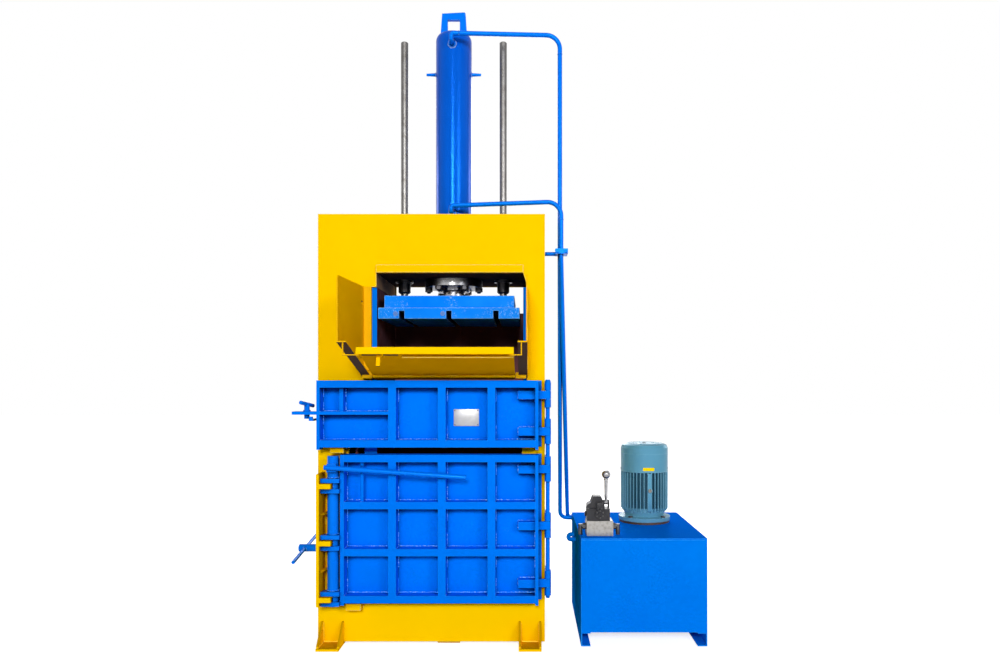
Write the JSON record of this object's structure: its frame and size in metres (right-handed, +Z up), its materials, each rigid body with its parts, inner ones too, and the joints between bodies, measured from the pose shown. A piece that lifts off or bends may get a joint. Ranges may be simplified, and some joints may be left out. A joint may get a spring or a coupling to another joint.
{
  "type": "vertical baler",
  "caption": "Upright hydraulic baler: plate frame, press cylinder with guide rods, feed flap between hopper wings, two hinged doors, separate oil tank with motor and hand valve.",
  "frame": {"origin": "on the floor under the press axis, on the sole under the bed", "axes": "+X to the right as seen from the doors, +Y from the doors to the back, +Z up"},
  "size_m": [2.238, 1.2203, 3.4786],
  "materials": {
    "yellow_paint": "glossy yellow enamel",
    "blue_paint": "glossy blue enamel",
    "tank_paint": "glossy blue enamel",
    "red_oxide": "matt red-brown primer",
    "worn_steel": "dark ground bar",
    "polished_steel": "hard chromed",
    "dark_steel": "blackened",
    "motor_paint": "grey-green motor enamel",
    "motor_bolt_steel": "zinc plated",
    "gasket": "dark, oily",
    "rotor_steel": "turned",
    "pump_casting": "as cast",
    "manifold_steel": "milled, mottled",
    "valve_casting": "black painted casting",
    "fitting_steel": "zinc plated",
    "lever_chrome": "bright chrome"
  },
  "bodies": {
    "frame": {"front_plate": "yellow_paint", "back_plate": "yellow_paint", "left_side_plate": "yellow_paint", "right_side_plate": "yellow_paint", "inner_column_plate": "yellow_paint", "upper_liner": "blue_paint", "crown_beam": "yellow_paint", "bed_beam": "yellow_paint", "chamber_right_wall": "blue_paint", "chamber_back_wall": "red_oxide", "wear_strip": "worn_steel", "feet": "yellow_paint", "cylinder_barrel": "blue_paint", "cylinder_flange": "dark_steel", "stop_pegs": "blue_paint", "cylinder_gland": "polished_steel", "flange_studs": "dark_steel", "guide_bushes": "dark_steel", "bush_bolts": "dark_steel", "lifting_eye": "blue_paint", "upper_pipe": "blue_paint", "lower_pipe": "blue_paint", "pipe_unions": "blue_paint", "pipe_clamp": "blue_paint", "left_wing": "yellow_paint", "right_wing": "yellow_paint", "hinge_knuckles": "blue_paint", "hinge_rod": "blue_paint", "lock_plate": "yellow_paint", "latch_keeper": "yellow_paint", "tank": "tank_paint", "tank_lid": "tank_paint", "motor_adapter": "gasket", "motor_body": "motor_paint", "motor_bolts": "motor_bolt_steel", "motor_bearings": "dark_steel", "fan_cover": "motor_paint", "pump": "pump_casting", "manifold_block": "manifold_steel", "valve_body": "valve_casting", "manifold_fittings": "fitting_steel"},
    "platen": {"platen_plate": "blue_paint", "platen_box": "blue_paint", "guide_rods": "worn_steel", "piston_rod": "polished_steel"},
    "upper_door": {"upper_door": "blue_paint", "upper_door_grid": "blue_paint"},
    "upper_latch": {"upper_latch": "blue_paint"},
    "lower_door": {"lower_door": "blue_paint", "lower_door_grid": "blue_paint", "lock_brackets": "blue_paint"},
    "lock_shaft": {"lock_shaft": "blue_paint"},
    "feed_flap": {"feed_flap": "yellow_paint"},
    "flap_bolt": {"flap_bolt": "yellow_paint"},
    "release_wall": {"release_wall": "blue_paint", "thrust_cup": "worn_steel"},
    "release_screw": {"release_screw": "blue_paint", "tommy_bar": "blue_paint"},
    "valve_lever": {"valve_lever": "lever_chrome"},
    "motor_rotor": {"motor_rotor": "rotor_steel"}
  },
  "joints": [
    {"name": "platen_slide", "type": "slide", "parent": "frame", "child": "platen", "axis": [0, 0, -1], "range_m": [0, 1]},
    {"name": "upper_door_hinge", "type": "hinge", "parent": "frame", "child": "upper_door", "pos_m": [0.524, -0.33, 1.2], "axis": [0, 0, 1], "range_deg": [0, 180]},
    {"name": "upper_latch_turn", "type": "hinge", "parent": "upper_door", "child": "upper_latch", "pos_m": [-0.731, -0.358, 1.222], "axis": [0, 0, -1], "range_deg": [0, 90]},
    {"name": "lower_door_hinge", "type": "hinge", "parent": "frame", "child": "lower_door", "pos_m": [0.524, -0.33, 0.7], "axis": [0, 0, 1], "range_deg": [0, 140]},
    {"name": "lock_shaft_turn", "type": "hinge", "parent": "lower_door", "child": "lock_shaft", "pos_m": [-0.59, -0.374, 0.6], "axis": [0, 0, -1], "range_deg": [0, 100]},
    {"name": "feed_flap_hinge", "type": "hinge", "parent": "frame", "child": "feed_flap", "pos_m": [-0.0205, -0.32, 1.418], "axis": [-1, 0, 0], "range_deg": [0, 72]},
    {"name": "flap_bolt_slide", "type": "slide", "parent": "feed_flap", "child": "flap_bolt", "axis": [-1, 0, 0], "range_m": [0, 0.07]},
    {"name": "release_wall_slide", "type": "slide", "parent": "frame", "child": "release_wall", "axis": [-1, 0, 0], "range_m": [0, 0.024]},
    {"name": "release_screw_turn", "type": "hinge", "parent": "release_wall", "child": "release_screw", "pos_m": [-0.447, 0, 0.443], "axis": [-1, 0, 0], "range_deg": [0, 1440]},
    {"name": "valve_lever_tilt", "type": "hinge", "parent": "frame", "child": "valve_lever", "pos_m": [0.84, -0.23, 0.738], "axis": [1, 0, 0], "range_deg": [-18, 18], "stiffness_Nm_per_rad": 8},
    {"name": "motor_rotor_spin", "type": "hinge", "parent": "frame", "child": "motor_rotor", "pos_m": [1.109, 0.182, 0.599], "axis": [0, 0, 1], "continuous": true}
  ],
  "couplings": [
    {"joint": "release_screw_turn", "follows": "release_wall_slide", "rad_per_m": 1047.2}
  ]
}
